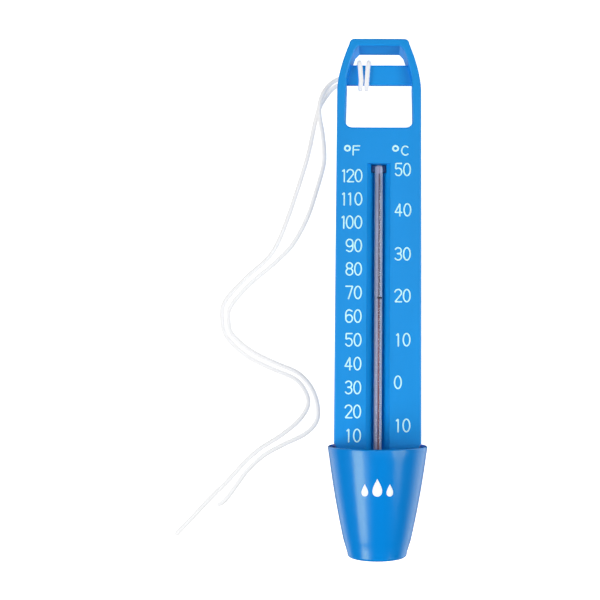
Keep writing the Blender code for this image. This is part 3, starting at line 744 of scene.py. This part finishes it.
# Sideways place, height above DROPS_Y, length and width of each raised drop.
DROPS = (
    (0.0, 0.0, 0.0086, 0.0058),
    (-0.0060, -0.0010, 0.0060, 0.0041),
    (0.0060, -0.0010, 0.0060, 0.0041),
)
# Size and height, in shares of the drop's own, of each ring from its sunk foot to its flat top.
DROP_RINGS = ((1.0, -0.4), (1.0, 0.5), (0.95, 0.85), (0.85, 1.0), (0.45, 1.0))
DROP_NARROWING = 1.4
DROP_FULLNESS = 1.12
DROP_BELLY = 0.12


def drop_outline(length, width, steps=36):
    """A water drop round the middle of its belly: round below, drawn to a point above."""
    points = []
    for i in range(steps):
        t = 2 * math.pi * i / steps
        narrow = math.sin(t / 2) ** DROP_NARROWING
        across = -math.sin(t) * narrow * width * 0.5 * DROP_FULLNESS
        points.append((across, length * (0.5 * math.cos(t) + DROP_BELLY)))
    return points


def make_drops():
    """A plain mark of three raised white water drops on the front of the cup."""
    shape = bmesh.new()
    for across, up, length, width in DROPS:
        outline = drop_outline(length, width)

        def on_cup(x, y, rise):
            height = DROPS_Y + up + y
            radius = cup_radius(height) + rise
            turn = (across + x) / radius
            return shape.verts.new(local(radius * math.sin(turn), height, radius * math.cos(turn)))

        rings = []
        for size, rise in DROP_RINGS:
            rings.append([on_cup(x * size, y * size, rise * DROP_RISE) for x, y in outline])
        skin(shape, rings)
    drops = mesh_object("cup_drop_mark", shape, DROP_MATERIAL)
    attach(drops, CASE)


make_drops()


# ---------------------------------------------------------------- numerals

DIGIT_HEIGHT = 0.0062
DIGIT_WIDTH = 0.0033
DIGIT_STEP = 0.00430
# Steps from digit to digit in the numbers whose digits are not evenly spaced.
UNEVEN_STEPS = {
    "120": (0.00215, 0.00420),
    "110": (0.00310, 0.00320),
    "100": (0.00215, 0.00430),
    "40": (0.00450,),
    "10": (0.00326,),
}
STROKE = 0.00074
STROKE_RISE = 0.00026
FAHRENHEIT_ZERO_Y = 0.04724
FAHRENHEIT_PER_DEGREE = 0.001182
CELSIUS_ROWS = {50: 0.1923, 40: 0.1718, 30: 0.1495, 20: 0.1285, 10: 0.1065, 0: 0.08535, -10: 0.0641}
FAHRENHEIT_RIGHT = -0.00853
CELSIUS_LEFT = 0.0083
CELSIUS_TEN_SHIFT = 0.0010
# The degree signs and the letters of the two scales, above their numbers.
DEGREE_Y = 0.2031
DEGREE_RADIUS = 0.00130
DEGREE_STROKE = 0.0010
FAHRENHEIT_DEGREE_X = -0.0159
CELSIUS_DEGREE_X = 0.0084
F_LEFT = -0.0130
F_FOOT = 0.1997
F_TOP = 0.2043
F_TOP_RIGHT = -0.0098
F_MIDDLE = 0.2023
F_MIDDLE_RIGHT = -0.0102
C_CENTRE = (0.0134, 0.2020)
C_HALF_WIDTH = 0.0019
C_HALF_HEIGHT = 0.0023
C_OPENING = 50
# Beads of paint: spacing of their rings in widths, sides round them, and depth they are sunk, in rises.
# BEAD_CAPS says how far out, in half widths, and how wide each ring of a round end is.
BEAD_SPACING = 0.45
BEAD_SIDES = 10
BEAD_SUNK = 0.15
BEAD_CAPS = ((0.5, 0.866), (0.866, 0.5), (0.985, 0.17))


def digit_strokes(character):
    """Strokes of a narrow engraver's digit in a box one high and w wide: (points, closed)."""
    w = DIGIT_WIDTH / DIGIT_HEIGHT
    middle = w / 2
    if character == "0":
        return [(whole_oval((middle, 0.5), w / 2, 0.5), True)]
    if character == "1":
        return [([(0.0, 0.87), (0.13, 1.0), (0.13, 0.0)], False)]
    if character == "2":
        bowl = oval((middle, 0.72), w / 2, 0.28, 165, -20, 12)
        return [(bowl + [(0.02, 0.0), (w, 0.0)], False)]
    if character == "3":
        upper = oval((middle - 0.01, 0.745), w / 2 - 0.02, 0.255, 150, -80, 12)
        lower = oval((middle - 0.01, 0.27), w / 2, 0.27, 80, -150, 14)
        return [(upper + [(middle - 0.06, 0.51)], False), ([(middle - 0.06, 0.51)] + lower, False)]
    if character == "4":
        return [([(middle + 0.12, 0.0), (middle + 0.12, 1.0), (0.0, 0.28), (w, 0.28)], False)]
    if character == "5":
        bowl = oval((middle - 0.01, 0.31), w / 2, 0.31, 125, -150, 16)
        return [([(w - 0.03, 1.0), (0.05, 1.0), (0.03, 0.56)] + bowl, False)]
    if character == "6":
        loop = whole_oval((middle, 0.30), w / 2, 0.30)
        stem = [(w - 0.04, 0.90)] + oval((middle, 0.64), w / 2, 0.36, 55, 180, 10) + [(0.0, 0.30)]
        return [(loop, True), (stem, False)]
    if character == "7":
        return [([(0.0, 1.0), (w, 1.0), (middle - 0.06, 0.0)], False)]
    if character == "8":
        upper = whole_oval((middle, 0.755), w / 2 - 0.03, 0.245)
        lower = whole_oval((middle, 0.27), w / 2, 0.27)
        return [(upper, True), (lower, True)]
    if character == "9":
        loop = whole_oval((middle, 0.70), w / 2, 0.30)
        stem = [(w, 0.70)] + oval((middle, 0.36), w / 2, 0.36, 0, -125, 10) + [(0.04, 0.10)]
        return [(loop, True), (stem, False)]
    raise ValueError(character)


def bead(shape, points, closed, width, rise):
    """A low rounded bead of paint on the case's face along (x, y) points, with round ends."""
    flat = [Vector((x, y, 0.0)) for x, y in points]
    if closed:
        path = even_path(flat + [flat[0]], width * BEAD_SPACING)[:-1]
    else:
        path = even_path(flat, width * BEAD_SPACING)
    half = width / 2
    sections = []
    count = len(path)
    for i, point in enumerate(path):
        if closed:
            step = path[(i + 1) % count] - path[i - 1]
        else:
            step = path[min(i + 1, count - 1)] - path[max(i - 1, 0)]
        sections.append((point, step.normalized(), 1.0))
    if not closed:
        first, last = sections[0], sections[-1]
        sections = (
            [(first[0] - first[1] * half * out, first[1], wide) for out, wide in reversed(BEAD_CAPS)]
            + sections
            + [(last[0] + last[1] * half * out, last[1], wide) for out, wide in BEAD_CAPS]
        )
    rings = []
    for point, tangent, wide in sections:
        side = Vector((tangent.y, -tangent.x, 0.0))
        ring = []
        for k in range(BEAD_SIDES):
            angle = 2 * math.pi * k / BEAD_SIDES
            across = point + side * (half * wide * math.cos(angle))
            height = FACE_Z + rise * wide * (math.sin(angle) - BEAD_SUNK)
            ring.append(shape.verts.new(local(across.x, across.y, height)))
        rings.append(ring)
    skin(shape, rings, closed_along=closed)


def digit_places(text):
    """How far right of the number's first digit each digit starts."""
    places = [0.0]
    for step in UNEVEN_STEPS.get(text, (DIGIT_STEP,) * (len(text) - 1)):
        places.append(places[-1] + step)
    return places


def write_number(shape, text, x, y):
    """Digits side by side from x, centred on y."""
    low = y - DIGIT_HEIGHT / 2
    for character, place in zip(text, digit_places(text)):
        for points, closed in digit_strokes(character):
            placed = [(x + place + px * DIGIT_HEIGHT, low + py * DIGIT_HEIGHT) for px, py in points]
            bead(shape, placed, closed, STROKE, STROKE_RISE)


def degree_ring(shape, x):
    """A degree sign on the face."""
    bead(shape, whole_oval((x, DEGREE_Y), DEGREE_RADIUS, DEGREE_RADIUS), True, DEGREE_STROKE, STROKE_RISE)


def make_scales():
    """The two scales: every ten degrees, with a degree sign and a letter above."""
    shape = bmesh.new()
    for value in range(10, 121, 10):
        text = str(value)
        y = FAHRENHEIT_ZERO_Y + FAHRENHEIT_PER_DEGREE * value
        width = digit_places(text)[-1] + DIGIT_WIDTH
        write_number(shape, text, FAHRENHEIT_RIGHT - width, y)
    degree_ring(shape, FAHRENHEIT_DEGREE_X)
    bead(shape, [(F_LEFT, F_FOOT), (F_LEFT, F_TOP), (F_TOP_RIGHT, F_TOP)], False, STROKE, STROKE_RISE)
    bead(shape, [(F_LEFT, F_MIDDLE), (F_MIDDLE_RIGHT, F_MIDDLE)], False, STROKE, STROKE_RISE)
    left = mesh_object("scale_fahrenheit", shape, NUMERAL_MATERIAL)

    shape = bmesh.new()
    for value, y in CELSIUS_ROWS.items():
        start = CELSIUS_LEFT + (CELSIUS_TEN_SHIFT if abs(value) == 10 else 0.0)
        write_number(shape, str(abs(value)), start, y)
    degree_ring(shape, CELSIUS_DEGREE_X)
    c_arc = oval(C_CENTRE, C_HALF_WIDTH, C_HALF_HEIGHT, C_OPENING, 360 - C_OPENING, 20)
    bead(shape, c_arc, False, STROKE, STROKE_RISE)
    right = mesh_object("scale_celsius", shape, NUMERAL_MATERIAL)
    for scale in (left, right):
        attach(scale, CASE)


make_scales()


# ---------------------------------------------------------------- tube and spirit

BORE_OFFSET = 0.00030
FINE_BORE = 0.00032
FINE_SPIRIT = 0.00029
GLASS_RADIUS = 0.0020
BACKING_FRONT = -0.00040
BORE_LINE_THICK = 0.00004
TUBE_SIDES = 48
SPIRIT_SIDES = 16
COLUMN_ROWS = 48
COLUMN_BELOW_NECK = 0.0002
# The thread's end overlaps its column a little, and its meniscus falls towards the glass.
THREAD_OVERLAP = 0.0001
MENISCUS = ((0.0, 0.0), (0.7, 0.00006), (1.0, 0.0002))
BACKING_ROWS = (0.08, 0.12, 0.16)
# Distance below the top of the backing, and share of its radius, of each ring of its tapered end.
BACKING_END = ((0.0009, 1.0), (0.0003, 0.85), (0.0, 0.70))
BACKING_FRONT_STEPS = (0.6, 0.2, -0.2, -0.6)
MARK_STEPS = 8
BACKING_BOTTOM = 0.0400
BACKING_TOP = 0.1944
MARK_Y = 0.1274
MARK_LEFT = -0.0006
MARK_RIGHT = 0.0018
MARK_TALL = 0.0008
MARK_RISE = 0.00006


def shifted(obj, x):
    """The same object, with its mesh moved to the right."""
    obj.data.transform(Matrix.Translation((x, 0.0, 0.0)))
    return obj


def make_spirit():
    """The column runs up to the moving thread end."""
    foot = READING_Y - THREAD_TOP_LENGTH
    low = NECK_BOTTOM - COLUMN_BELOW_NECK
    profile = [(0.0, low)]
    profile += [(FINE_SPIRIT, low + (foot - low) * i / COLUMN_ROWS) for i in range(COLUMN_ROWS + 1)]
    profile.append((0.0, foot))
    column = shifted(turned("spirit_column_drawn", profile, SPIRIT_SIDES, SPIRIT_MATERIAL), BORE_OFFSET)
    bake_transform(column)
    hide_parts("spirit_column")
    profile = [(FINE_SPIRIT * share, READING_Y - fall) for share, fall in MENISCUS]
    profile += [(FINE_SPIRIT, foot - THREAD_OVERLAP), (0.0, foot - THREAD_OVERLAP)]
    end = shifted(turned("spirit_end_drawn", profile, SPIRIT_SIDES, SPIRIT_MATERIAL), BORE_OFFSET)
    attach(end, THREAD)
    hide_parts("spirit_thread_top")


def make_tube():
    """Glass with a fine bore a little to the right of its axis."""
    shape = bmesh.new()
    outer = oval((0.0, TUBE_TOP - TUBE_TIP), GLASS_RADIUS, TUBE_TIP, 90, 0, 10)[1:]
    outer += [(GLASS_RADIUS, TUBE_TOP - TUBE_TIP - 0.02 * i) for i in range(1, 8)]
    outer.append((GLASS_RADIUS, TUBE_BOTTOM))
    inner = [(FINE_BORE, TUBE_BOTTOM), (FINE_BORE, 0.11), (FINE_BORE, BORE_TOP)]

    def ring(radius, y, x):
        turns = [2 * math.pi * i / TUBE_SIDES for i in range(TUBE_SIDES)]
        return [shape.verts.new(local(x + radius * math.sin(t), y, radius * math.cos(t))) for t in turns]

    tip = shape.verts.new(local(0.0, TUBE_TOP, 0.0))
    end = shape.verts.new(local(BORE_OFFSET, BORE_TOP + FINE_BORE, 0.0))
    rings = [ring(radius, y, 0.0) for radius, y in outer]
    rings += [ring(radius, y, BORE_OFFSET) for radius, y in inner]
    skin(shape, rings, caps=False)
    for i in range(TUBE_SIDES):
        j = (i + 1) % TUBE_SIDES
        shape.faces.new((tip, rings[0][i], rings[0][j]))
        shape.faces.new((end, rings[-1][j], rings[-1][i]))
    tube = mesh_object("glass_tube", shape, GLASS_MATERIAL)
    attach(tube, CASE)
    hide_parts("glass_stem")


def make_backing():
    """White enamel fused into the back of the glass, flat in front and round with the glass behind."""
    shape = bmesh.new()
    rings = []
    rows = [(y, BACKING_RADIUS) for y in (BACKING_BOTTOM, *BACKING_ROWS)]
    rows += [(BACKING_TOP - below, BACKING_RADIUS * share) for below, share in BACKING_END]
    for y, radius in rows:
        dip = math.degrees(math.asin(-BACKING_FRONT / radius))
        section = arc((0.0, 0.0), radius, -180 + dip, -dip, 16)
        front_half = radius * math.cos(math.radians(dip))
        section += [(front_half * k, BACKING_FRONT) for k in BACKING_FRONT_STEPS]
        rings.append([shape.verts.new(local(x, y, z)) for x, z in section])
    skin(shape, rings)
    backing = mesh_object("enamel_backing", shape, ENAMEL_MATERIAL, smooth=False)
    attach(backing, CASE)
    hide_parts("enamel_strip")


def make_bore_line():
    """Dark sheet in the glass behind the bore: painted shade that makes the empty bore read dark."""
    shape = bmesh.new()
    rings = []
    inside = FINE_BORE + BORE_LINE_THICK / 4
    for y in (BACKING_BOTTOM, *BACKING_ROWS, BORE_TOP):
        section = arc((BORE_OFFSET, 0.0), inside, 180, 360, 12)
        section += arc((BORE_OFFSET, 0.0), inside + BORE_LINE_THICK, 360, 180, 12)
        rings.append([shape.verts.new(local(x, y, z)) for x, z in section])
    skin(shape, rings)
    line = mesh_object("bore_line", shape, PAINTED_BORE_SHADE_MATERIAL, smooth=False)
    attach(line, CASE)


def make_calibration_mark():
    """Short black stroke fired on the front of the tube at the reading the scale is set by."""
    shape = bmesh.new()
    rings = []
    places = [MARK_LEFT + (MARK_RIGHT - MARK_LEFT) * i / MARK_STEPS for i in range(MARK_STEPS + 1)]
    outside = [math.asin(x / GLASS_RADIUS) for x in places]
    for y in (MARK_Y - MARK_TALL / 2, MARK_Y + MARK_TALL / 2):
        section = [(GLASS_RADIUS + MARK_RISE, t) for t in outside]
        section += [(GLASS_RADIUS - MARK_RISE, t) for t in reversed(outside)]
        rings.append([shape.verts.new(local(r * math.sin(t), y, r * math.cos(t))) for r, t in section])
    skin(shape, rings)
    mark = mesh_object("calibration_mark", shape, MARK_MATERIAL, smooth=False)
    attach(mark, CASE)


make_calibration_mark()
make_bore_line()
make_backing()
make_spirit()
make_tube()


# ---------------------------------------------------------------- carried-over CAD parts

for node, material in (
    ("front_shell", CASE_MATERIAL),
    ("rear_cover", CASE_MATERIAL),
    ("float_foam_left", FOAM_MATERIAL),
    ("float_foam_right", FOAM_MATERIAL),
    ("glass_bulb", GLASS_MATERIAL),
    ("bulb_spirit", SPIRIT_MATERIAL),
    ("upper_tube_cushion", RUBBER_MATERIAL),
    ("lower_tube_cushion", RUBBER_MATERIAL),
):
    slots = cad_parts[node].material_slots
    for slot in slots:
        slot.material = material


# ---------------------------------------------------------------- floor and light

FLOOR_GLOW = 0.85
FLOOR_HALF = 3.0
BACKDROP_RADIUS = 2.9


def floor_material():
    """Pale matt floor, with a glow that keeps it near white."""
    nodes = Nodes("pale_floor")
    tone = nodes.noise(3.0, 2.0, 0.5)
    nodes.feed(Base_Color=nodes.ramp(tone, [(0.3, (0.92, 0.92, 0.92)), (0.7, (0.94, 0.94, 0.94))]))
    nodes.set(Roughness=0.9, Specular_IOR_Level=0.1)
    nodes.set(Emission_Color=(1.0, 1.0, 1.0, 1.0), Emission_Strength=FLOOR_GLOW)
    return nodes.material


shape = bmesh.new()
bmesh.ops.create_grid(shape, x_segments=1, y_segments=1, size=FLOOR_HALF)
floor = mesh_object("floor", shape, floor_material())
floor.visible_diffuse = False
floor.visible_glossy = False


def make_backdrop():
    """A plain pale sweep far behind everything, for the low viewing angles."""
    shape = bmesh.new()
    bmesh.ops.create_uvsphere(shape, u_segments=48, v_segments=24, radius=BACKDROP_RADIUS)
    backdrop = mesh_object("backdrop", shape, floor_material())
    backdrop.visible_diffuse = False
    backdrop.visible_glossy = False
    backdrop.visible_shadow = False


make_backdrop()


def softbox(name, place, target, width, height, power):
    """A rectangular area light aimed at a point."""
    data = bpy.data.lights.new(name, "AREA")
    data.shape = "RECTANGLE"
    data.size = width
    data.size_y = height
    data.energy = power
    light = bpy.data.objects.new(name, data)
    bpy.context.scene.collection.objects.link(light)
    light.location = place
    aim = Vector(target) - Vector(place)
    light.rotation_euler = aim.to_track_quat("-Z", "Y").to_euler()


def radiant(radiance, width, height):
    """Power of a soft box that looks that bright."""
    return radiance * math.pi * width * height


CUP_CENTRE = Vector((0.0, -0.10, 0.03))
LIGHT_DISTANCE = 0.9
# Name, angle from overhead to the right, place along y, width across, length along y, radiance.
for name, angle, along, width, length, radiance in (
    ("key_softbox", -45.0, -0.37, 0.42, 0.66, 6.2),
    ("shoulder_softbox", -26.0, -0.40, 0.19, 0.60, 1.2),
    ("left_top_softbox", -49.0, 0.12, 0.45, 0.30, 3.0),
    ("fill_softbox", 51.0, -0.12, 0.30, 0.64, 2.2),
    ("right_top_softbox", 51.0, 0.06, 0.50, 0.50, 5.2),
):
    turn = math.radians(angle)
    across = Vector((math.sin(turn), 0.0, math.cos(turn))) * LIGHT_DISTANCE
    place = CUP_CENTRE + across
    place.y = along
    target = Vector((0.0, along, CUP_CENTRE.z))
    softbox(name, place, target, length, width, radiant(radiance, width, length))
PANEL_WIDTH = 0.8
PANEL_LENGTH = 0.6
PANEL_RADIANCE = 0.75
panel_power = radiant(PANEL_RADIANCE, PANEL_WIDTH, PANEL_LENGTH)
softbox("top_panel", (0.0, 0.26, 1.0), (0.0, 0.05, 0.0), PANEL_WIDTH, PANEL_LENGTH, panel_power)


# Brightness of the surroundings on either side and overhead.
WORLD_LEFT = 1.30
WORLD_RIGHT = 1.42
WORLD_CEILING = 0.05


def studio_world():
    """A dim ceiling and bright surroundings below eye level, brighter on the right.

    A dark strip lies under the work, and the bright part reaches a little higher on the right.
    """
    world = bpy.data.worlds.new("studio")
    world.use_nodes = True
    tree = world.node_tree

    def node(kind, **values):
        made = tree.nodes.new(kind)
        for key, value in values.items():
            if hasattr(made, key):
                setattr(made, key, value)
            else:
                made.inputs[key.replace("_", " ")].default_value = value
        return made

    def maths(operation, first, second):
        made = node("ShaderNodeMath", operation=operation)
        for socket, value in zip(made.inputs, (first, second)):
            if isinstance(value, float):
                socket.default_value = value
            else:
                tree.links.new(value, socket)
        return made.outputs[0]

    def remap(source, low, high, to_low, to_high):
        made = node("ShaderNodeMapRange", From_Min=low, From_Max=high, To_Min=to_low, To_Max=to_high)
        tree.links.new(source, made.inputs["Value"])
        return made.outputs["Result"]

    direction = node("ShaderNodeTexCoord")
    split = node("ShaderNodeSeparateXYZ")
    tree.links.new(direction.outputs["Generated"], split.inputs["Vector"])
    x, z = split.outputs["X"], split.outputs["Z"]
    leaning = maths("SUBTRACT", z, maths("MULTIPLY", x, 0.11))
    below = remap(leaning, -0.50, -0.12, 1.0, 0.0)
    side = remap(x, -0.6, 0.6, WORLD_LEFT, WORLD_RIGHT)
    off_strip = remap(maths("ABSOLUTE", x, 0.0), 0.30, 0.65, 0.0, 1.0)
    shallow = remap(z, -0.80, -0.50, 0.0, 1.0)
    lit = maths("MULTIPLY", maths("MULTIPLY", below, side), maths("MAXIMUM", off_strip, shallow))
    background = tree.nodes["Background"]
    background.inputs["Color"].default_value = (1.0, 1.0, 1.0, 1.0)
    tree.links.new(maths("ADD", lit, WORLD_CEILING), background.inputs["Strength"])
    bpy.context.scene.world = world


studio_world()
bpy.context.scene.view_settings.view_transform = "Standard"
